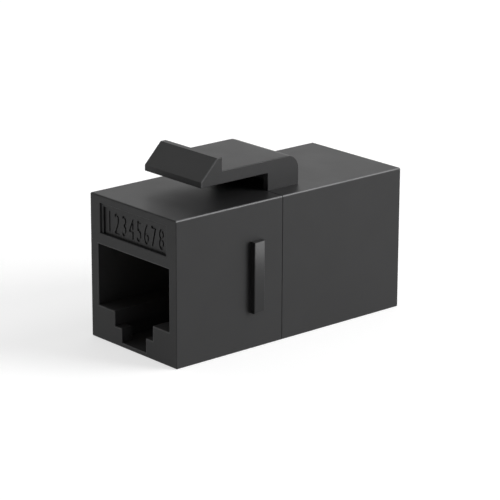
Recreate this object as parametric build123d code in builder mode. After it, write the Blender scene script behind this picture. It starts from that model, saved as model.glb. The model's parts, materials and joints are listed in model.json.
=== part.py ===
from build123d import *
from math import cos, radians, sin
import os

os.makedirs("parts", exist_ok=True)

# RJ45 inline coupler in millimetres: X runs across the ports, -Y is the front and Z is up.
# The origin is at the middle of the underside. A depth is measured in from a port's face.

# Ends of the coupler, as directions along Y
front = -1
rear = 1

# Plug socket, the same at both ends
port_width = 12.06
port_height = 6.97
key_width = 6.5  # upper step, wide enough for the shoulders of the plug's tab
key_height = 1.71
tab_slot_width = 4.12  # lower step, for the narrow end of the tab
tab_slot_height = 1.62
catch_wall = 1.45  # face wall that the tab's shoulders hook behind
catch_pocket_width = 7.1
tab_channel_depth = 10.2
plug_depth = 12.0

# Housing walls
side_wall = 1.22
floor_wall = 0.5
face_wall = 1.6
top_wall = 1.2
bay_floor = 1.2
contact_bay_height = 4.3
front_length = 14.76
seam_gap = 0.08
edge_round = 0.15
corner_round = 0.08  # upright corners of the port's face
mouth_round = 0.1  # rim of the socket

# Lip of the front housing that snaps into the rear housing
lip_length = 1.6
lip_inset = 0.62
lip_clearance = 0.05
snap_length = 6.0
snap_width = 0.6
snap_height = 0.2

# Sunk label field over the front port
label_width = 11.2
label_above_port = 1.3
label_below_top = 0.85
label_depth = 0.5
label_round = 0.07
label_step_depth = 0.21  # step over the field and at its sides
label_step_width = 0.34

# Stop ribs, which rest against the back of the panel
stop_depth = 10.2
stop_thickness = 1.6
stop_reach = 0.75
stop_taper = 0.17
stop_height = 8.0
stop_bottom = 4.1
stop_round = 0.1

# Latch, which hooks over the front of the panel
panel_space = 1.8
latch_width = 9.5
latch_gap = 1.95
arm_thickness = 1.45
hook_height = 1.47
hook_flat = 0.67
hook_ramp = 2.23
nose_height = 0.65
root_length = 4.46
root_round = 1.6
root_wall = 0.7  # sides of the pocket that cores the root out under the arm
root_pocket_depth = 2.6
latch_edge_round = 0.08

# Contacts, sprung from the board over the plug and down into its path
contact_count = 8
contact_pitch = 1.02
contact_width = 0.4
contact_thickness = 0.3
contact_slope = 16.0  # degrees below the plug's path
contact_bend_depth = 4.6
contact_drop = 0.45  # below the port's top, at the bend
contact_end_reach = 0.9  # into the comb behind the plug
contact_tail_reach = 0.7  # through the board
lower_row_rise = 1.0  # above the port's top
row_spacing = 1.6

# Contact carriers
carrier_wall = 3.4
carrier_clearance = 0.1
seat_clearance = 0.05
groove_clearance = 0.05
comb_margin = 0.45
comb_slot_width = 0.6
comb_slot_depth = 1.3
comb_slot_drop = 0.8  # below the free ends
tail_relief = 1.1
core_depth = 2.0
core_wall = 1.1

# Circuit board
board_thickness = 1.6
board_corner = 0.5
board_hole = 0.64

# Sizes that follow
port_floor = floor_wall + tab_slot_height + key_height
port_top = port_floor + port_height
bay_top = port_top + contact_bay_height
body_height = bay_top + top_wall
body_width = port_width + 2 * side_wall
board_depth = plug_depth + carrier_wall
body_length = 2 * board_depth + board_thickness
rear_start = front_length + seam_gap
lower_row = port_top + lower_row_rise
upper_row = lower_row + row_spacing
comb_width = contact_pitch * (contact_count - 1) + contact_width + 2 * comb_margin
comb_top = upper_row + contact_thickness / 2 + comb_margin


def along(depth, end=front):
    """Place along Y of a depth measured in from one end's face."""
    return end * (body_length / 2 - depth)


def across(depth, end=front):
    """Plane across the coupler at a depth, looking out of that end."""
    return Plane(origin=(0, along(depth, end), 0), x_dir=(-end, 0, 0), z_dir=(0, end, 0))


def cut_slot(start, length, width, low, high, end=front, centre=0):
    """Cut a slot inwards from a depth, between two heights."""
    with BuildSketch(across(start, end)) as outline:
        with Locations((centre, (low + high) / 2)):
            Rectangle(width, high - low)
    extrude(outline.sketch, amount=-length, mode=Mode.SUBTRACT)


def cut_hollow(end, length):
    """Cut a housing's hollow: the plug space, and the bays over it and behind it, for the carrier."""
    with BuildSketch(Plane.YZ) as side:
        with BuildLine():
            Polyline(
                (along(0, end), port_floor),
                (along(0, end), port_top),
                (along(face_wall, end), port_top),
                (along(face_wall, end), bay_top),
                (along(length, end), bay_top),
                (along(length, end), bay_floor),
                (along(plug_depth, end), bay_floor),
                (along(plug_depth, end), port_floor),
                close=True,
            )
        make_face()
    extrude(side.sketch, amount=port_width / 2, both=True, mode=Mode.SUBTRACT)


def cut_tab_channel(end):
    """Cut the stepped channel under the plug space, with the pocket that catches the plug's tab."""
    tab_top = floor_wall + tab_slot_height
    cut_slot(0, tab_channel_depth, key_width, tab_top, port_floor, end)
    cut_slot(0, catch_wall, tab_slot_width, floor_wall, tab_top, end)
    cut_slot(catch_wall, tab_channel_depth - catch_wall, catch_pocket_width, floor_wall, tab_top, end)


def body_outline(depth, end=front, inset=0):
    """Sketch the body's outline across the coupler, or one that lies that far inside it."""
    with BuildSketch(across(depth, end)) as outline:
        with Locations((0, body_height / 2)):
            Rectangle(body_width - 2 * inset, body_height - 2 * inset)
    return outline.sketch


def port_face_of(housing, end):
    """Find the flat face that a housing's port opens in."""
    return housing.faces().filter_by(Axis.Y).sort_by(Axis.Y)[0 if end == front else -1]


def round_outside(housing, end):
    """Round a housing's edges along its length and round its port's face."""
    port_edges = port_face_of(housing, end).edges()
    fillet(housing.edges().filter_by(Axis.Y) + port_edges.filter_by(Axis.X), edge_round)
    fillet(port_face_of(housing, end).edges().filter_by(Axis.Z), corner_round)


def round_mouth(housing, end):
    """Round the rim of a housing's socket, from the port's top down to the tab slot's floor."""
    rims = port_face_of(housing, end).inner_wires()
    mouth = rims.sort_by(Axis.Z)[0]
    fillet(mouth.edges(), mouth_round)


def save(part, name):
    """Label a piece and write it."""
    part.label = name
    export_step(part, f"parts/{name}.step")


# Front housing
lip_middle = (rear_start + front_length + lip_length) / 2
lip_side = body_width / 2 - lip_inset

with BuildPart() as front_housing:
    extrude(body_outline(0), amount=-front_length)
    round_outside(front_housing, front)
    extrude(body_outline(front_length, inset=lip_inset), amount=-lip_length)
    with BuildSketch(Plane.XY.offset(stop_bottom)):
        with BuildLine():
            Polyline(
                (body_width / 2 - side_wall / 2, along(stop_depth)),
                (body_width / 2 + stop_reach, along(stop_depth)),
                (body_width / 2 + stop_reach - stop_taper, along(stop_depth + stop_thickness)),
                (body_width / 2 - side_wall / 2, along(stop_depth + stop_thickness)),
                close=True,
            )
        make_face()
        mirror(about=Plane.YZ)
    extrude(amount=stop_height)
    by_side = front_housing.faces().sort_by(Axis.X)
    fillet(by_side[0].edges() + by_side[-1].edges(), stop_round)
    with BuildSketch(Plane.XY.offset((body_height - snap_length) / 2)):
        with BuildLine():
            Polyline(
                (lip_side - snap_height, along(lip_middle - snap_width / 2)),
                (lip_side, along(lip_middle - snap_width / 2)),
                (lip_side + snap_height, along(lip_middle)),
                (lip_side, along(lip_middle + snap_width / 2)),
                (lip_side - snap_height, along(lip_middle + snap_width / 2)),
                close=True,
            )
        make_face()
        mirror(about=Plane.YZ)
    extrude(amount=snap_length)
    cut_hollow(front, front_length + lip_length)
    cut_tab_channel(front)
    round_mouth(front_housing, front)
    label_bottom = port_top + label_above_port
    label_top = body_height - label_below_top
    field_width = label_width - 2 * label_step_width
    cut_slot(0, label_step_depth, label_width, label_bottom, label_top)
    label_rim = port_face_of(front_housing, front).inner_wires().sort_by(Axis.Z)[-1]
    fillet(label_rim.edges(), label_round)
    field_top = label_top - label_step_width
    cut_slot(label_step_depth, label_depth - label_step_depth, field_width, label_bottom, field_top)

save(front_housing.part, "front_housing")

# Latch, from the root at the seam to the hooked head
arm_bottom = body_height + latch_gap
arm_top = arm_bottom + arm_thickness
hook_top = arm_top + hook_height
hook_back = stop_depth - panel_space
nose_depth = hook_back - hook_flat - hook_ramp
root_back = rear_start + root_length
root_bottom = body_height - top_wall / 2  # inside the rear housing's top wall

with BuildPart() as latch:
    with BuildSketch(Plane.YZ) as latch_side:
        with BuildLine():
            Polyline(
                (along(rear_start), root_bottom),
                (along(rear_start), arm_bottom),
                (along(nose_depth), arm_bottom),
                (along(nose_depth), arm_bottom + nose_height),
                (along(nose_depth + hook_ramp), hook_top),
                (along(hook_back), hook_top),
                (along(hook_back), arm_top),
                (along(root_back), arm_top),
                (along(root_back), root_bottom),
                close=True,
            )
        make_face()
        root_corner = latch_side.vertices().group_by(Axis.X)[-1].sort_by(Axis.Y)[-1]
        fillet(root_corner, root_round)
    extrude(amount=latch_width / 2, both=True)
    fillet(latch.faces().filter_by(Axis.X).edges(), latch_edge_round)
    cut_slot(rear_start, root_pocket_depth, latch_width - 2 * root_wall, body_height, arm_bottom)

# Rear housing, with the latch moulded on
with BuildPart() as rear_housing:
    extrude(body_outline(0, rear), amount=-(body_length - rear_start))
    round_outside(rear_housing, rear)
    add(latch.part)
    cut_hollow(rear, body_length - rear_start)
    cut_tab_channel(rear)
    round_mouth(rear_housing, rear)
    lip_space = body_outline(front_length, inset=lip_inset - lip_clearance)
    extrude(lip_space, amount=-lip_length, mode=Mode.SUBTRACT)
    with BuildSketch(Plane.XY.offset((body_height - snap_length) / 2 - lip_clearance)):
        with Locations((0, along(lip_middle))):
            Rectangle(2 * (lip_side + snap_height + lip_clearance), snap_width + 2 * lip_clearance)
    extrude(amount=snap_length + 2 * lip_clearance, mode=Mode.SUBTRACT)

save(rear_housing.part, "rear_housing")

# Places of the contacts, numbered from the left as the front port is looked into
places = [(number - (contact_count + 1) / 2) * contact_pitch for number in range(1, contact_count + 1)]
rows = [upper_row if number % 2 else lower_row for number in range(1, contact_count + 1)]
slope = radians(contact_slope)
free_end_depth = plug_depth + contact_end_reach
free_end_height = port_top - contact_drop - (free_end_depth - contact_bend_depth) * sin(slope) / cos(slope)

# Contact carrier, the same moulding at both ends
carrier_back = board_depth - seat_clearance
carrier_stop = plug_depth + seat_clearance
carrier_nose = face_wall + carrier_clearance
carrier_width = port_width - 2 * carrier_clearance
carrier_floor = bay_floor + carrier_clearance
carrier_top = bay_top - carrier_clearance
comb_floor = free_end_height - comb_slot_drop

with BuildPart() as contact_carrier:
    with BuildSketch(Plane.YZ):
        with BuildLine():
            Polyline(
                (along(carrier_nose), port_top),
                (along(carrier_nose), carrier_top),
                (along(carrier_back), carrier_top),
                (along(carrier_back), carrier_floor),
                (along(carrier_stop), carrier_floor),
                (along(carrier_stop), port_top),
                close=True,
            )
        make_face()
    extrude(amount=carrier_width / 2, both=True)
    # Space between the side arms for the contacts' bends, and over the comb
    cut_slot(carrier_nose, contact_bend_depth - carrier_nose, comb_width, port_top, carrier_top)
    cut_slot(contact_bend_depth, carrier_back - contact_bend_depth, comb_width, comb_top, carrier_top)
    for place, row in zip(places, rows):
        groove_width = contact_width + 2 * groove_clearance
        groove_floor = row - contact_thickness / 2
        groove_length = carrier_back - contact_bend_depth
        cut_slot(contact_bend_depth, groove_length, groove_width, groove_floor, comb_top, centre=place)
        cut_slot(carrier_stop, comb_slot_depth, comb_slot_width, comb_floor, port_top, centre=place)
    # Relief behind the comb for the far contacts' tails, and the core of the stop wall
    cut_slot(carrier_back - tail_relief, tail_relief, comb_width, port_top, comb_top)
    core_width = carrier_width - 2 * core_wall
    core_bottom = carrier_floor + core_wall
    cut_slot(carrier_back - core_depth, core_depth, core_width, core_bottom, comb_floor - core_wall / 2)

save(contact_carrier.part, "front_contact_carrier")
save(contact_carrier.part.rotate(Axis.Z, 180), "rear_contact_carrier")

# Spring contacts: straight from the board, round the bend and back down to the free end
for number, (place, row) in enumerate(zip(places, rows), start=1):
    with BuildPart() as contact:
        bend_radius = (row - port_top + contact_drop) * cos(slope) / (1 + cos(slope))
        with BuildLine(Plane.YZ.offset(place)) as path:
            tail_depth = board_depth + board_thickness + contact_tail_reach
            run = Line((along(tail_depth), row), (along(contact_bend_depth), row))
            bend = JernArc(run @ 1, run % 1, bend_radius, 180 - contact_slope)
            bend_exit_depth = contact_bend_depth - bend_radius * sin(slope)
            PolarLine(bend @ 1, (free_end_depth - bend_exit_depth) / cos(slope), direction=bend % 1)
        with BuildSketch(Plane(origin=path.line @ 0, x_dir=(1, 0, 0), z_dir=path.line % 0)):
            Rectangle(contact_width, contact_thickness)
        sweep(path=path.line)
    save(contact.part, f"front_contact_{number}")
    save(contact.part.rotate(Axis.Z, 180), f"rear_contact_{number}")

# Circuit board, with a plated hole for every contact of both ends
with BuildPart() as circuit_board:
    with BuildSketch(across(board_depth)):
        with Locations((0, (carrier_floor + carrier_top) / 2)):
            RectangleRounded(carrier_width, carrier_top - carrier_floor, board_corner)
        with Locations((0, (lower_row + upper_row) / 2)):
            with GridLocations(contact_pitch, row_spacing, contact_count, 2):
                Circle(board_hole / 2, mode=Mode.SUBTRACT)
    extrude(amount=-board_thickness)

save(circuit_board.part, "circuit_board")
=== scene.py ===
import json
from math import atan2, cos, radians, sin

import bpy
import numpy as np
from mathutils import Matrix, Vector


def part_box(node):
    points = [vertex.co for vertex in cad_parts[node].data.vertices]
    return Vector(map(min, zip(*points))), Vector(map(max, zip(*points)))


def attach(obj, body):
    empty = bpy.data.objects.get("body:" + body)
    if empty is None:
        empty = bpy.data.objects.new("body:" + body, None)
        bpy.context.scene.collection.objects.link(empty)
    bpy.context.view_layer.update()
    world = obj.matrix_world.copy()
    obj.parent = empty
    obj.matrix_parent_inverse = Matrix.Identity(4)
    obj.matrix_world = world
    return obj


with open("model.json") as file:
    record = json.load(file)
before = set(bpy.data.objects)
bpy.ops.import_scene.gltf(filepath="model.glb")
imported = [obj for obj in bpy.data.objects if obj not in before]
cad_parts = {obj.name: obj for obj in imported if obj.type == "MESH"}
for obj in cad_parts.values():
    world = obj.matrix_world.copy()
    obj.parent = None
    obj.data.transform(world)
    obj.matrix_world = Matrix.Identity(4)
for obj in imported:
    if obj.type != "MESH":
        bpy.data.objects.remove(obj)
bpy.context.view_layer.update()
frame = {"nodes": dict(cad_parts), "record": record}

nodes = frame["nodes"]
mm = 0.001
print("frame loaded:", len(nodes), "nodes")


def addObject(name, data):
    thing = bpy.data.objects.new(name, data)
    bpy.context.collection.objects.link(thing)
    return thing


# Camera, at the angle of the photograph
cameraView = {
    "azimuth": 48.836,        # degrees round from the front port
    "elevation": 17.280,
    "roll": 0.237,
    "place": (197.15, -172.07, 89.63),    # mm
    "lens": 178.73,           # mm
    "sensor": 36,             # mm
    "clipStart": 0.01,        # m
}


def addCamera(view):
    azimuth, elevation, roll = (radians(view[key]) for key in ("azimuth", "elevation", "roll"))
    back = Vector((sin(azimuth) * cos(elevation), -cos(azimuth) * cos(elevation), sin(elevation)))
    level = Vector((cos(azimuth), sin(azimuth), 0))
    right = level * cos(roll) + back.cross(level) * sin(roll)
    up = back.cross(right)
    data = bpy.data.cameras.new("camera")
    data.sensor_width = view["sensor"]
    data.lens = view["lens"]
    data.clip_start = view["clipStart"]
    camera = addObject("camera", data)
    place = Matrix.Translation(Vector(view["place"]) * mm)
    camera.matrix_world = place @ Matrix((right, up, back)).transposed().to_4x4()
    bpy.context.scene.camera = camera


addCamera(cameraView)
print("camera placed")


# Short ways to write shader nodes. Most take plain values or sockets, and give back their result's socket
def newMaterial(name):
    material = bpy.data.materials.new(name)
    material.use_nodes = True
    tree = material.node_tree
    tree.nodes.clear()
    return material, tree


def feed(tree, socket, value):
    if isinstance(value, bpy.types.NodeSocket):
        tree.links.new(value, socket)
    else:
        socket.default_value = value


def maths(tree, operation, *values, clamp=False):
    node = tree.nodes.new("ShaderNodeMath")
    node.operation = operation
    node.use_clamp = clamp
    for socket, value in zip(node.inputs, values):
        feed(tree, socket, value)
    return node.outputs[0]


def chain(tree, operation, first, *others):
    # The operation carried on through all the values
    for other in others:
        first = maths(tree, operation, first, other)
    return first


def times(tree, *values):
    return chain(tree, "MULTIPLY", *values)


def minus(tree, first, second):
    return maths(tree, "SUBTRACT", first, second)


def absolute(tree, value):
    return maths(tree, "ABSOLUTE", value)


def distance(tree, first, second):
    # Root of the sum of the two squares
    return maths(tree, "SQRT", maths(tree, "ADD", times(tree, first, first), times(tree, second, second)))


def between(tree, share, first, second):
    # The first number where the share is 0, and the second where it is 1
    return maths(tree, "MULTIPLY_ADD", share, second - first, first)


def blend(tree, share, first, second):
    # The first colour where the share is 0, and the second where it is 1
    node = tree.nodes.new("ShaderNodeMix")
    node.data_type = "RGBA"
    feed(tree, node.inputs[0], share)
    feed(tree, node.inputs[6], first)     # a Mix node's sockets for colours come after its others
    feed(tree, node.inputs[7], second)
    return node.outputs[2]


def ease(tree, value, start, end):
    # 0 before the start, 1 past the end and smooth between them
    node = tree.nodes.new("ShaderNodeMapRange")
    node.interpolation_type = "SMOOTHSTEP"
    for socket, given in zip(node.inputs, (value, start, end)):
        feed(tree, socket, given)
    return node.outputs[0]


def vectorMaths(tree, operation, *values):
    node = tree.nodes.new("ShaderNodeVectorMath")
    node.operation = operation
    for socket, value in zip(node.inputs, values):
        feed(tree, socket, value)
    return node.outputs[0]


def objectPlace(tree):
    return tree.nodes.new("ShaderNodeTexCoord").outputs["Object"]


def splitAxes(tree, place):
    split = tree.nodes.new("ShaderNodeSeparateXYZ")
    tree.links.new(place, split.inputs[0])
    return split.outputs["X"], split.outputs["Y"], split.outputs["Z"]


def mapped(tree, place, settings):
    node = tree.nodes.new("ShaderNodeMapping")
    tree.links.new(place, node.inputs["Vector"])
    for label, value in settings.items():
        node.inputs[label].default_value = value
    return node.outputs[0]


def noise(tree, place, scale, detail=2.0, rough=0.5):
    node = tree.nodes.new("ShaderNodeTexNoise")
    tree.links.new(place, node.inputs["Vector"])
    for label, value in (("Scale", scale), ("Detail", detail), ("Roughness", rough)):
        feed(tree, node.inputs[label], value)
    return node.outputs["Fac"]


def toOutput(tree, kind, shader):
    # The kind of output node is that of a material or of the world
    output = tree.nodes.new(kind)
    tree.links.new(shader.outputs[0], output.inputs["Surface"])


# Studio: a pale floor, a sky that is brighter overhead and behind, and soft lamps round the object
studio = {
    "skyTop": 0.40,           # overhead
    "skyBack": 0.235,         # behind the object
    "skyEdge": 0.80,          # pale band along the horizon, behind the end of the floor
    "skyEdgePower": 16,       # a higher one makes that band thinner
    "floorColour": (0.5, 0.5, 0.5, 1),
    "floorSize": 4.0,         # m
    "floorDrop": 0.00002,     # keeps the floor apart from the underside that lies on it
    "floorLift": 0.62,        # seen by the eye and by reflections, over the light that falls on the floor
    "lampDistance": 0.8,      # m
}
lamps = {                     # direction, width in m, power
    "keyLamp": ((0.70, 0.60, 0.35), 0.5, 7.0),
    "rightLamp": ((0.94, 0.30, 0.35), 0.5, 0.45),
    "leftFrontLamp": ((-0.72, -0.31, 0.62), 0.5, 0.78),
    "leftBackLamp": ((-0.72, 0.63, 0.35), 0.6, 0.66),
    "edgeLamp": ((0.30, 0.63, 0.72), 0.3, 1.0),
}


def addWorld(values):
    world = bpy.data.worlds.new("studio")
    world.use_nodes = True
    bpy.context.scene.world = world
    tree = world.node_tree
    tree.nodes.clear()
    back, rise = splitAxes(tree, tree.nodes.new("ShaderNodeTexCoord").outputs["Generated"])[1:]
    top = times(tree, maths(tree, "MAXIMUM", rise, 0), values["skyTop"])
    rear = times(tree, maths(tree, "MAXIMUM", back, 0), values["skyBack"])
    band = maths(tree, "POWER", minus(tree, 1, absolute(tree, rise)), values["skyEdgePower"])
    light = tree.nodes.new("ShaderNodeBackground")
    light.inputs["Color"].default_value = (1, 1, 1, 1)
    edge = times(tree, band, values["skyEdge"])
    feed(tree, light.inputs["Strength"], chain(tree, "ADD", top, rear, edge))
    toOutput(tree, "ShaderNodeOutputWorld", light)


def addFloor(values):
    half, level = values["floorSize"] / 2, -values["floorDrop"]
    mesh = bpy.data.meshes.new("floor")
    corners = [(-half, -half, level), (half, -half, level), (half, half, level), (-half, half, level)]
    mesh.from_pydata(corners, [], [(0, 1, 2, 3)])
    material, tree = newMaterial("paleFloor")
    matt = tree.nodes.new("ShaderNodeBsdfDiffuse")
    matt.inputs["Color"].default_value = values["floorColour"]
    path = tree.nodes.new("ShaderNodeLightPath").outputs
    seen = chain(tree, "MAXIMUM",
                 path["Is Camera Ray"], path["Is Glossy Ray"], path["Is Transmission Ray"])
    lift = tree.nodes.new("ShaderNodeEmission")
    feed(tree, lift.inputs["Strength"], times(tree, seen, values["floorLift"]))
    both = tree.nodes.new("ShaderNodeAddShader")
    tree.links.new(matt.outputs[0], both.inputs[0])
    tree.links.new(lift.outputs[0], both.inputs[1])
    toOutput(tree, "ShaderNodeOutputMaterial", both)
    mesh.materials.append(material)
    floor = addObject("floor", mesh)


def addLamp(name, direction, width, power, away):
    data = bpy.data.lights.new(name, "AREA")
    data.shape = "DISK"
    data.size = width
    data.energy = power
    lamp = addObject(name, data)
    direction = Vector(direction).normalized()
    lamp.location = direction * away
    lamp.rotation_euler = direction.to_track_quat("Z", "Y").to_euler()


addWorld(studio)
addFloor(studio)
for name, (direction, width, power) in lamps.items():
    addLamp(name, direction, width, power, studio["lampDistance"])
print("studio set")


# Shared finishes as node groups
sharedFinish = {
    "cloudScale": 260,        # per metre: dull and glossy patches of the moulded skin
    "patchScale": 700,        # per metre: patches that break up a painted edge highlight
}


def newGroup(name, inputs, outputs):
    group = bpy.data.node_groups.new(name, "ShaderNodeTree")
    for label, kind, value in inputs:
        socket = group.interface.new_socket(label, in_out="INPUT", socket_type=kind)
        socket.default_value = value
    for label, kind in outputs:
        group.interface.new_socket(label, in_out="OUTPUT", socket_type=kind)
    return group, group.nodes.new("NodeGroupInput"), group.nodes.new("NodeGroupOutput")


def useGroup(tree, group, values):
    node = tree.nodes.new("ShaderNodeGroup")
    node.node_tree = group
    for label, value in values.items():
        feed(tree, node.inputs[label], value)
    return node.outputs


def makeMouldedSkin(values):
    # Spark-eroded skin: a fine noise is its relief, and a broad one makes it a little duller or glossier
    group, given, out = newGroup(
        "mouldedSkin",
        [("Grain Scale", "NodeSocketFloat", 9000),
         ("Grain Height", "NodeSocketFloat", 0.000002),
         ("Roughness", "NodeSocketFloat", 0.42),
         ("Roughness Spread", "NodeSocketFloat", 0.08),
         ("Colour", "NodeSocketColor", (0.5, 0.5, 0.5, 1)),
         ("Clouding", "NodeSocketFloat", 0.2)],
        [("Colour", "NodeSocketColor"), ("Roughness", "NodeSocketFloat"), ("Height", "NodeSocketFloat")])
    given = given.outputs
    place = objectPlace(group)
    grain = noise(group, place, given["Grain Scale"], detail=3, rough=0.6)
    cloud = minus(group, noise(group, place, values["cloudScale"]), 0.5)
    tone = group.nodes.new("ShaderNodeVectorMath")
    tone.operation = "SCALE"
    group.links.new(given["Colour"], tone.inputs[0])
    group.links.new(maths(group, "MULTIPLY_ADD", cloud, given["Clouding"], 1), tone.inputs["Scale"])
    roughness = maths(group, "MULTIPLY_ADD", cloud, given["Roughness Spread"], given["Roughness"])
    height = times(group, grain, given["Grain Height"])
    for value, label in ((tone.outputs[0], "Colour"), (roughness, "Roughness"), (height, "Height")):
        group.links.new(value, out.inputs[label])
    return group


def makeEdgeWear(values):
    # Painted highlight along the edges of a box: of a point's distances from the box's nearest face on
    # each axis, the middle one is how far it lies from an edge, and a noise breaks up the line that it
    # gives
    group, given, out = newGroup(
        "paintedEdgeHighlight",
        [("Place", "NodeSocketVector", (0, 0, 0)),
         ("Low", "NodeSocketVector", (0, 0, 0)),
         ("High", "NodeSocketVector", (0, 0, 0)),
         ("Reach", "NodeSocketFloat", 0.0003),
         ("Break Up", "NodeSocketFloat", 0.4)],
        [("Painted Highlight", "NodeSocketFloat")])
    given = given.outputs
    gaps = [vectorMaths(group, "ABSOLUTE", vectorMaths(group, "SUBTRACT", given["Place"], given[label]))
            for label in ("Low", "High")]
    x, y, z = splitAxes(group, vectorMaths(group, "MINIMUM", *gaps))
    low, high = maths(group, "MINIMUM", x, y), maths(group, "MAXIMUM", x, y)
    middle = maths(group, "MAXIMUM", low, maths(group, "MINIMUM", high, z))
    line = minus(group, 1, ease(group, middle, 0, given["Reach"]))
    patchy = times(group, noise(group, given["Place"], values["patchScale"], detail=3), given["Break Up"])
    kept = maths(group, "MULTIPLY", line, minus(group, 1, patchy), clamp=True)
    group.links.new(kept, out.inputs["Painted Highlight"])
    return group


mouldedSkin = makeMouldedSkin(sharedFinish)
paintedEdgeHighlight = makeEdgeWear(sharedFinish)


def principled(tree, values):
    # The shader, with its plain values on its own sockets
    shader = tree.nodes.new("ShaderNodeBsdfPrincipled")
    for label, value in values.items():
        feed(tree, shader.inputs[label], value)
    toOutput(tree, "ShaderNodeOutputMaterial", shader)


def relief(tree, height):
    # Normal of a surface that the height, in metres, lifts
    bump = tree.nodes.new("ShaderNodeBump")
    bump.inputs["Distance"].default_value = 1
    tree.links.new(height, bump.inputs["Height"])
    return bump.outputs["Normal"]


# Black moulded shell
housing = {
    "colour": (0.013, 0.013, 0.0135, 1),
    "paintedCoreLightColour": (0.030, 0.030, 0.031, 1),     # painted light: a lighter colour in the cores of the sockets
    # Colour of the painted highlights on edges, rims and the label step
    "paintedHighlightColour": (0.19, 0.19, 0.195, 1),
    "roughness": 0.43,
    "insideRoughness": 0.60,
    "ior": 1.5,
    "specularLevel": 0.284,
    "wallSide": 0.00725,      # half the width over the side walls
    "wallDepth": 0.0010,      # the outer finish goes this far into a side wall
    "coreStart": 0.0002,      # behind the port's face
    "coreHeight": (0.0057, 0.0054),       # middle of the cores and half their height
    # how far a painted edge highlight reaches
    "paintedHighlightReach": 0.00022,
    "latchPaintedHighlight": 0.45,        # share of the painted edge highlight that the head of the latch has
    "latchSide": 0.00475,     # half the latch's width
    "headStart": 0.0010,      # over the top of the body
    "rampDepth": 0.00223,
    "rampHeight": 0.00227,
    "stepPaintedLight": 0.15,         # share of painted light that the narrow step in the label field has
    "stepPlace": (-0.00543, 0.00017),     # its middle across and half its width
    "stepDepth": (0.00021, 0.00004),      # behind the port's face, and how far either side counts
    "stepBottom": 0.01211,
    "rimPaintedHighlight": 0.40,          # share of painted highlight that the rim of a plug socket has
    "rimReach": 0.00020,
    "rimDepth": 0.00012,      # behind the port's face
    # Half the width, the foot and the top of each of the three steps of a socket's mouth
    "mouth": ((0.00603, 0.00383, 0.01080), (0.00325, 0.00212, 0.00383), (0.00206, 0.0005, 0.00212)),
    "ribSide": 0.00735,       # ribs stand out past this
    "ribBottom": 0.0041,
    "ribHeight": 0.0080,
    "ribCrown": (24, -30, 32 / 3),        # degrees, times s, its square and its cube, as ribRelief says
    "ribMiddle": -0.0052,
    "ribTwist": 0.24,         # radians that the foot of a rib is turned to the front
}


# Painted highlight along a box's edges
def wearOnEdges(tree, place, low, high, reach):
    return useGroup(tree, paintedEdgeHighlight, {"Place": place, "Low": low, "High": high, "Reach": reach})["Painted Highlight"]


def wearOnLatch(tree, place, z, bodyTop, values):
    # Painted highlight along both sides of the latch head's ramp, in a place turned so that the ramp lies
    # flat, and along both sides of its nose
    low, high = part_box("rear_housing")
    side, reach = values["latchSide"], values["paintedHighlightReach"]
    slope = Matrix.Rotation(-atan2(values["rampHeight"], values["rampDepth"]), 3, "X")
    shift = slope @ Vector((0, -low[1], values["rampHeight"] - high[2]))
    flat = mapped(tree, place, {"Rotation": slope.to_euler(), "Location": shift})
    ramp = wearOnEdges(tree, flat, (-side, -1, -1), (side, 1, 0), reach)
    nose = wearOnEdges(tree, place, (-side, low[1], -1), (side, 1, 1), reach)
    onHead = maths(tree, "GREATER_THAN", z, bodyTop + values["headStart"])
    return times(tree, maths(tree, "MAXIMUM", ramp, nose), onHead, values["latchPaintedHighlight"])


def wearOnStep(tree, x, y, z, faceY, values):
    # The narrow step at the end of the label field is lightened all over with painted light
    across = maths(tree, "COMPARE", x, *values["stepPlace"])
    behind = maths(tree, "COMPARE", minus(tree, y, faceY), *values["stepDepth"])
    above = maths(tree, "GREATER_THAN", z, values["stepBottom"])
    return times(tree, across, behind, above, values["stepPaintedLight"])


def wearOnRims(tree, side, depth, z, faceDepth, values):
    # Painted highlight along the rims of the sockets: a point's distance from the mouth is the least of
    # those from its steps
    nearest = 1.0
    for half, foot, top in values["mouth"]:
        across = maths(tree, "MAXIMUM", minus(tree, side, half), 0)
        offMiddle = absolute(tree, minus(tree, z, (foot + top) / 2))
        upright = maths(tree, "MAXIMUM", minus(tree, offMiddle, (top - foot) / 2), 0)
        nearest = maths(tree, "MINIMUM", distance(tree, across, upright), nearest)
    rim = minus(tree, 1, ease(tree, nearest, 0, values["rimReach"]))
    onFace = maths(tree, "GREATER_THAN", depth, faceDepth - values["rimDepth"])
    return times(tree, rim, values["rimPaintedHighlight"], onFace)


def ribRelief(tree, side, y, z, values):
    # The ribs' outer faces are crowned: over a rib's height s, from 0 at its top to 1 at its foot, they
    # lean 24 - 60 s + 32 s^2 degrees upwards, so the face stands out by (24 s - 30 s^2 + 32/3 s^3) degrees
    # times its height. Their feet are also turned a little to the front
    height = values["ribHeight"]
    plain, square, cube = values["ribCrown"]
    s = maths(tree, "DIVIDE", minus(tree, values["ribBottom"] + height, z), height, clamp=True)
    inner = maths(tree, "MULTIPLY_ADD", s, cube, square)
    crown = times(tree, s, maths(tree, "MULTIPLY_ADD", s, inner, plain), radians(1) * height)
    twist = times(tree, minus(tree, y, values["ribMiddle"]), times(tree, s, values["ribTwist"]))
    onRib = maths(tree, "GREATER_THAN", side, values["ribSide"])
    return times(tree, maths(tree, "ADD", crown, twist), onRib)


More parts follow.
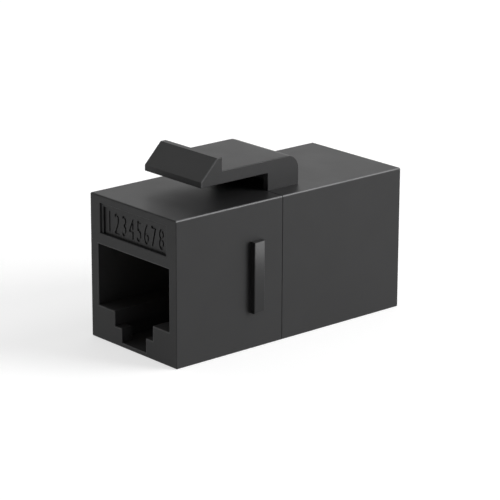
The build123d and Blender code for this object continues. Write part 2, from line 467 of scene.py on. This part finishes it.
def makeHousingFinish(values):
    material, tree = newMaterial("blackHousing")
    place = objectPlace(tree)
    x, y, z = splitAxes(tree, place)
    side, depth = absolute(tree, x), absolute(tree, y)
    low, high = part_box("front_housing")
    faceY, bodyTop, wall = low[1], high[2], values["wallSide"]
    # Painted highlight along the long upper edges: the box that gives it has its ends and its floor
    # far off
    edges = wearOnEdges(tree, place, (-wall, -1, -1), (wall, 1, bodyTop), values["paintedHighlightReach"])
    paintedHighlight = chain(tree, "MAXIMUM", edges,
                 wearOnLatch(tree, place, z, bodyTop, values),
                 wearOnStep(tree, x, y, z, faceY, values),
                 wearOnRims(tree, side, depth, z, -faceY, values))
    # Cores of the sockets: between the side walls, behind either port's face and from floor to top
    inside = times(tree, maths(tree, "LESS_THAN", side, wall - values["wallDepth"]),
                   maths(tree, "LESS_THAN", depth, -faceY - values["coreStart"]),
                   maths(tree, "COMPARE", z, *values["coreHeight"]))
    # The cores get a lighter colour, which is painted light, and a rougher finish
    skin = useGroup(tree, mouldedSkin, {
        "Colour": blend(tree, inside, values["colour"], values["paintedCoreLightColour"]),
        "Roughness": between(tree, inside, values["roughness"], values["insideRoughness"])})
    # Painted highlights lighten the colour on the edges, rims and label step
    colour = blend(tree, paintedHighlight, skin["Colour"], values["paintedHighlightColour"])
    height = maths(tree, "ADD", ribRelief(tree, side, y, z, values), skin["Height"])
    principled(tree, {"Base Color": colour, "Roughness": skin["Roughness"], "IOR": values["ior"],
                      "Specular IOR Level": values["specularLevel"], "Normal": relief(tree, height)})
    return material


housingFinish = makeHousingFinish(housing)


# Glass-filled plastic of the contact carriers
carrier = {
    "colour": (0.020, 0.020, 0.022, 1),
    "roughness": 0.55,
    "ior": 1.5,
    "fibreColour": (0.10, 0.10, 0.105, 1),
    "fibreScale": (5200, 5200, 900),      # per metre: longest up and down
    "fibreStart": (0.66, 0.74),           # level of the noise where a fleck starts, and where it is full
    "fibreShare": 0.5,        # of its colour, where it is full
}


def makeCarrierFinish(values):
    # Short glass fibres show as thin pale flecks, drawn out up and down
    material, tree = newMaterial("carrierPlastic")
    stretched = mapped(tree, objectPlace(tree), {"Scale": values["fibreScale"]})
    fleck = ease(tree, noise(tree, stretched, 1, detail=1), *values["fibreStart"])
    skin = useGroup(tree, mouldedSkin, {"Colour": values["colour"], "Roughness": values["roughness"]})
    colour = blend(tree, times(tree, fleck, values["fibreShare"]), skin["Colour"], values["fibreColour"])
    principled(tree, {"Base Color": colour, "Roughness": skin["Roughness"], "IOR": values["ior"],
                      "Normal": relief(tree, skin["Height"])})
    return material


carrierFinish = makeCarrierFinish(carrier)


# Contacts: gold over nickel where the plug touches, and tin on the tails in the board
contact = {
    "gold": (0.95, 0.66, 0.28, 1),
    "tin": (0.72, 0.71, 0.69, 1),
    "goldRoughness": 0.20,
    "tinRoughness": 0.34,
    "goldEnd": 0.0030,        # gold stops this far from the board's middle
    "goldFade": 0.0003,       # and goes over to tin in this
    "endRagged": 0.0006,      # how far that end wanders
    "endScale": 2600,         # per metre
    "drawScale": (14000, 260, 260),       # per metre: lines that drawing the strip leaves
    "drawHeight": 0.0000012,
    "drawColour": (0.55, 0.36, 0.14, 1),
    "drawShare": 0.25,        # of that colour
    "drawRoughness": 0.10,    # added where a line is highest
}


def makeContactFinish(values):
    material, tree = newMaterial("platedContact")
    place = objectPlace(tree)
    away = absolute(tree, splitAxes(tree, place)[1])
    wander = noise(tree, place, values["endScale"])
    ragged = maths(tree, "MULTIPLY_ADD", wander, values["endRagged"], away)
    plated = ease(tree, ragged, values["goldEnd"], values["goldEnd"] + values["goldFade"])
    lines = noise(tree, mapped(tree, place, {"Scale": values["drawScale"]}), 1)
    colour = blend(tree, plated, values["tin"], values["gold"])
    colour = blend(tree, times(tree, lines, values["drawShare"]), colour, values["drawColour"])
    roughness = between(tree, plated, values["tinRoughness"], values["goldRoughness"])
    roughness = maths(tree, "MULTIPLY_ADD", lines, values["drawRoughness"], roughness)
    principled(tree, {"Base Color": colour, "Metallic": 1.0, "Roughness": roughness,
                      "Normal": relief(tree, times(tree, lines, values["drawHeight"]))})
    return material


contactFinish = makeContactFinish(contact)


# Circuit board: lacquer over copper tracks, bare tinned pads and the cut edge of the laminate
board = {
    "lacquer": (0.010, 0.110, 0.035, 1),
    "track": (0.030, 0.210, 0.070, 1),
    "laminate": (0.42, 0.36, 0.16, 1),
    "pad": (0.70, 0.69, 0.66, 1),
    "roughness": 0.30,
    "edgeRoughness": 0.45,    # added at the cut edge
    "ior": 1.5,
    "grainHeight": 0.000001,
    "contacts": 8,
    "pitch": 0.00102,
    "rows": (0.0118, 0.0134),
    "padRadius": 0.00046,
    "trackWidth": 0.00025,
    "trackFoot": 0.0030,      # tracks on the front face go down to here
    "crossPitch": 0.0009,     # of the tracks on the rear face, which run across
    "crossSide": 0.0046,      # half their length
    "crossHeight": (0.0063, 0.0035),      # their middle, and how far up and down from it they go
    "copperHeight": 0.00003,
    "faceDepth": 0.00002,     # the cut edge starts this far behind either face
}


def offStripe(tree, value, pitch):
    # Distance from the middle of the nearest stripe: stripes lie a pitch apart, the first half a pitch
    # off zero
    share = maths(tree, "FRACT", maths(tree, "DIVIDE", value, pitch))
    return times(tree, absolute(tree, minus(tree, share, 0.5)), pitch)


def makeBoardFinish(values):
    material, tree = newMaterial("boardLacquer")
    x, y, z = splitAxes(tree, objectPlace(tree))
    side, high = absolute(tree, x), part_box("circuit_board")[1]
    # Pads ring the holes, which stand in columns and in two rows
    column = offStripe(tree, x, values["pitch"])
    inColumns = maths(tree, "LESS_THAN", side, values["contacts"] / 2 * values["pitch"])
    rings = [maths(tree, "LESS_THAN", distance(tree, column, minus(tree, z, row)), values["padRadius"])
             for row in values["rows"]]
    pads = times(tree, chain(tree, "MAXIMUM", *rings), inColumns)
    # Tracks run down from the holes on the front face, and across on the rear face
    halfTrack = values["trackWidth"] / 2
    down = times(tree, maths(tree, "LESS_THAN", column, halfTrack), inColumns,
                 maths(tree, "GREATER_THAN", z, values["trackFoot"]))
    across = times(tree, maths(tree, "LESS_THAN", offStripe(tree, z, values["crossPitch"]), halfTrack),
                   maths(tree, "LESS_THAN", side, values["crossSide"]),
                   maths(tree, "COMPARE", z, *values["crossHeight"]))
    onRear = maths(tree, "GREATER_THAN", y, 0)
    onFront = minus(tree, 1, onRear)
    copper = maths(tree, "ADD", times(tree, down, onFront), times(tree, across, onRear), clamp=True)
    # The cut edge lies between the two faces
    edge = maths(tree, "LESS_THAN", absolute(tree, y), high[1] - values["faceDepth"])
    skin = useGroup(tree, mouldedSkin, {"Colour": values["lacquer"], "Roughness": values["roughness"],
                                        "Grain Height": values["grainHeight"]})
    colour = blend(tree, copper, skin["Colour"], values["track"])
    colour = blend(tree, pads, colour, values["pad"])
    colour = blend(tree, edge, colour, values["laminate"])
    roughness = maths(tree, "MULTIPLY_ADD", edge, values["edgeRoughness"], skin["Roughness"])
    raised = maths(tree, "MAXIMUM", copper, pads)
    height = maths(tree, "MULTIPLY_ADD", raised, values["copperHeight"], skin["Height"])
    principled(tree, {"Base Color": colour, "Metallic": times(tree, pads, minus(tree, 1, edge)),
                      "Roughness": roughness, "IOR": values["ior"], "Normal": relief(tree, height)})
    return material


boardFinish = makeBoardFinish(board)

finishes = {"housing": housingFinish, "carrier": carrierFinish,
            "contact": contactFinish, "board": boardFinish}
for entry in frame["record"]["subparts"]:
    slots = nodes[entry["node"]].data.materials
    slots.clear()
    slots.append(finishes[entry["material_slot"]])
print("finishes given")


# Plate in the sunk field over the front port, with the numbers of the contacts sunk into it
labelPlate = {
    "count": 8,
    "pitch": 0.00125,
    "height": 0.0023,
    "squeeze": 0.58,          # of a number's natural width
    "curveSteps": 5,          # between two points of a number's outline
    "fieldWidth": 0.0105,
    "fieldBottom": 0.01211,
    "fieldTop": 0.0151,
    "fieldDepth": 0.0005,     # behind the port's face
    "bedding": 0.00001,       # just under the field, so that the plate sits on it
    "thickness": 0.00012,
}


def numberOutline(number):
    # The closed curves of one number, each as arrays of its points and their handles
    letter = bpy.data.curves.new("number", "FONT")
    letter.body = str(number)
    holder = addObject("number", letter)
    curves = []
    for spline in holder.to_curve(bpy.context.evaluated_depsgraph_get()).splines:
        arrays = {}
        for key in ("co", "handle_left", "handle_right"):
            points = np.empty(len(spline.bezier_points) * 3)
            spline.bezier_points.foreach_get(key, points)
            arrays[key] = points.reshape(-1, 3)
        curves.append(arrays)
    holder.to_curve_clear()
    bpy.data.objects.remove(holder)
    bpy.data.curves.remove(letter)
    return curves


def makeLabelPlate(values):
    # A flat outline, a rectangle with the numbers as holes in it, is filled and drawn out to the plate's
    # thickness. Its own x, y and z then become X, Z and -Y
    outline = bpy.data.curves.new("labelPlate", "CURVE")
    outline.dimensions = "2D"
    outline.fill_mode = "BOTH"
    outline.resolution_u = values["curveSteps"]
    outline.extrude = values["thickness"] / 2
    x, y = values["fieldWidth"] / 2, (values["fieldTop"] - values["fieldBottom"]) / 2
    rectangle = outline.splines.new("POLY")
    rectangle.points.add(3)
    corners = np.array([(-x, -y, 0, 1), (x, -y, 0, 1), (x, y, 0, 1), (-x, y, 0, 1)])
    rectangle.points.foreach_set("co", corners.ravel())
    rectangle.use_cyclic_u = True
    for index in range(values["count"]):
        curves = numberOutline(index + 1)
        low = np.min([arrays["co"].min(axis=0) for arrays in curves], axis=0)
        high = np.max([arrays["co"].max(axis=0) for arrays in curves], axis=0)
        size = values["height"] / (high[1] - low[1])
        scale = np.array([size * values["squeeze"], size, 0])
        place = np.array([(index - (values["count"] - 1) / 2) * values["pitch"], 0, 0])
        for arrays in curves:
            copy = outline.splines.new("BEZIER")
            copy.bezier_points.add(len(arrays["co"]) - 1)
            for key, points in arrays.items():
                moved = (points - (low + high) / 2) * scale + place
                copy.bezier_points.foreach_set(key, moved.ravel())
            copy.use_cyclic_u = True
    holder = bpy.data.objects.new("labelPlate", outline)
    mesh = bpy.data.meshes.new_from_object(holder)
    mesh.name = "labelPlate"
    bpy.data.objects.remove(holder)
    bpy.data.curves.remove(outline)
    points = np.empty(len(mesh.vertices) * 3)
    mesh.vertices.foreach_get("co", points)
    points = points.reshape(-1, 3)
    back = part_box("front_housing")[0][1] + values["fieldDepth"] + values["bedding"]
    middle = (values["fieldBottom"] + values["fieldTop"]) / 2
    depth = back - values["thickness"] / 2 - points[:, 2]
    stood = np.stack([points[:, 0], depth, points[:, 1] + middle], axis=-1)
    mesh.vertices.foreach_set("co", stood.ravel())
    mesh.update()
    piece = addObject("labelPlate", mesh)
    mesh.materials.clear()
    mesh.materials.append(housingFinish)
    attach(piece, "root")


makeLabelPlate(labelPlate)
print("label plate made")


# Solder round the tails of the contacts, on both faces of the board
solder = {
    "base": 0.00044,          # radius on the pad
    "tip": 0.00024,           # radius at the tail
    "rise": 0.00045,
    "bedding": 0.00002,       # how far a fillet starts under the board's face
    "steps": 20,
    "rings": 8,
    "colour": (0.76, 0.76, 0.75, 1),
    "roughness": 0.28,
    "grainScale": 5000,       # per metre
    "grainHeight": 0.000004,
    "clouding": 0.3,
}


def makeSolder(values):
    # A fillet is a profile turned round the tail's line: for t from 0 to 1 its radius falls from base to
    # tip along a quarter of a hollow curve, r = tip + (base - tip) (1 - sin(90 t)), as it climbs by
    # rise (1 - cos(90 t))
    low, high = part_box("circuit_board")
    turn = np.linspace(0, 2 * np.pi, values["steps"], endpoint=False)
    quarter = np.linspace(0, np.pi / 2, values["rings"])
    radius = values["tip"] + (values["base"] - values["tip"]) * (1 - np.sin(quarter))
    climb = values["rise"] * (1 - np.cos(quarter))
    # A ring under the surface starts the fillet and a point on the axis ends it
    radius = np.concatenate([[values["base"]], radius, [0]])
    climb = np.concatenate([[-values["bedding"]], climb, [values["rise"]]])
    count = board["contacts"]
    numbers = np.arange(count)
    lowerRow, upperRow = board["rows"]
    columns = (numbers - (count - 1) / 2) * board["pitch"]
    rows = np.where(numbers % 2 == 0, upperRow, lowerRow)
    # Tails of the front contacts come out behind the board, and those of the rear contacts before it
    centreX = np.concatenate([columns, -columns])[:, None, None]
    centreZ = np.concatenate([rows, rows])[:, None, None]
    outY = np.concatenate([np.ones(count), -np.ones(count)])
    startY = np.where(outY > 0, high[1], low[1])[:, None, None]
    x = centreX + radius[None, :, None] * np.cos(turn)
    z = centreZ + radius[None, :, None] * np.sin(turn)
    y = startY + outY[:, None, None] * climb[None, :, None] + 0 * x
    points = np.stack([x, y, z], axis=-1).reshape(-1, 3)
    rings, steps = len(radius), values["steps"]
    grid = np.arange(rings * steps).reshape(rings, steps)
    here, onward = grid[:-1], grid[1:]
    quads = np.stack([here, np.roll(here, -1, axis=1), np.roll(onward, -1, axis=1), onward], axis=-1)
    quads = quads.reshape(-1, 4)
    # Faces point outwards on both sides of the board
    flipped = quads[:, ::-1]
    faces = [(flipped if out > 0 else quads) + index * rings * steps for index, out in enumerate(outY)]
    mesh = bpy.data.meshes.new("solderFillets")
    mesh.from_pydata(points.tolist(), [], np.concatenate(faces).tolist())
    mesh.update()
    mesh.shade_smooth()
    piece = addObject("solderFillets", mesh)
    material, tree = newMaterial("solder")
    skin = useGroup(tree, mouldedSkin, {
        "Colour": values["colour"], "Roughness": values["roughness"], "Grain Scale": values["grainScale"],
        "Grain Height": values["grainHeight"], "Clouding": values["clouding"]})
    principled(tree, {"Base Color": skin["Colour"], "Metallic": 1.0, "Roughness": skin["Roughness"],
                      "Normal": relief(tree, skin["Height"])})
    mesh.materials.append(material)
    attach(piece, "root")


makeSolder(solder)
print("solder made")


scene = bpy.context.scene
scene.view_settings.view_transform = "Standard"
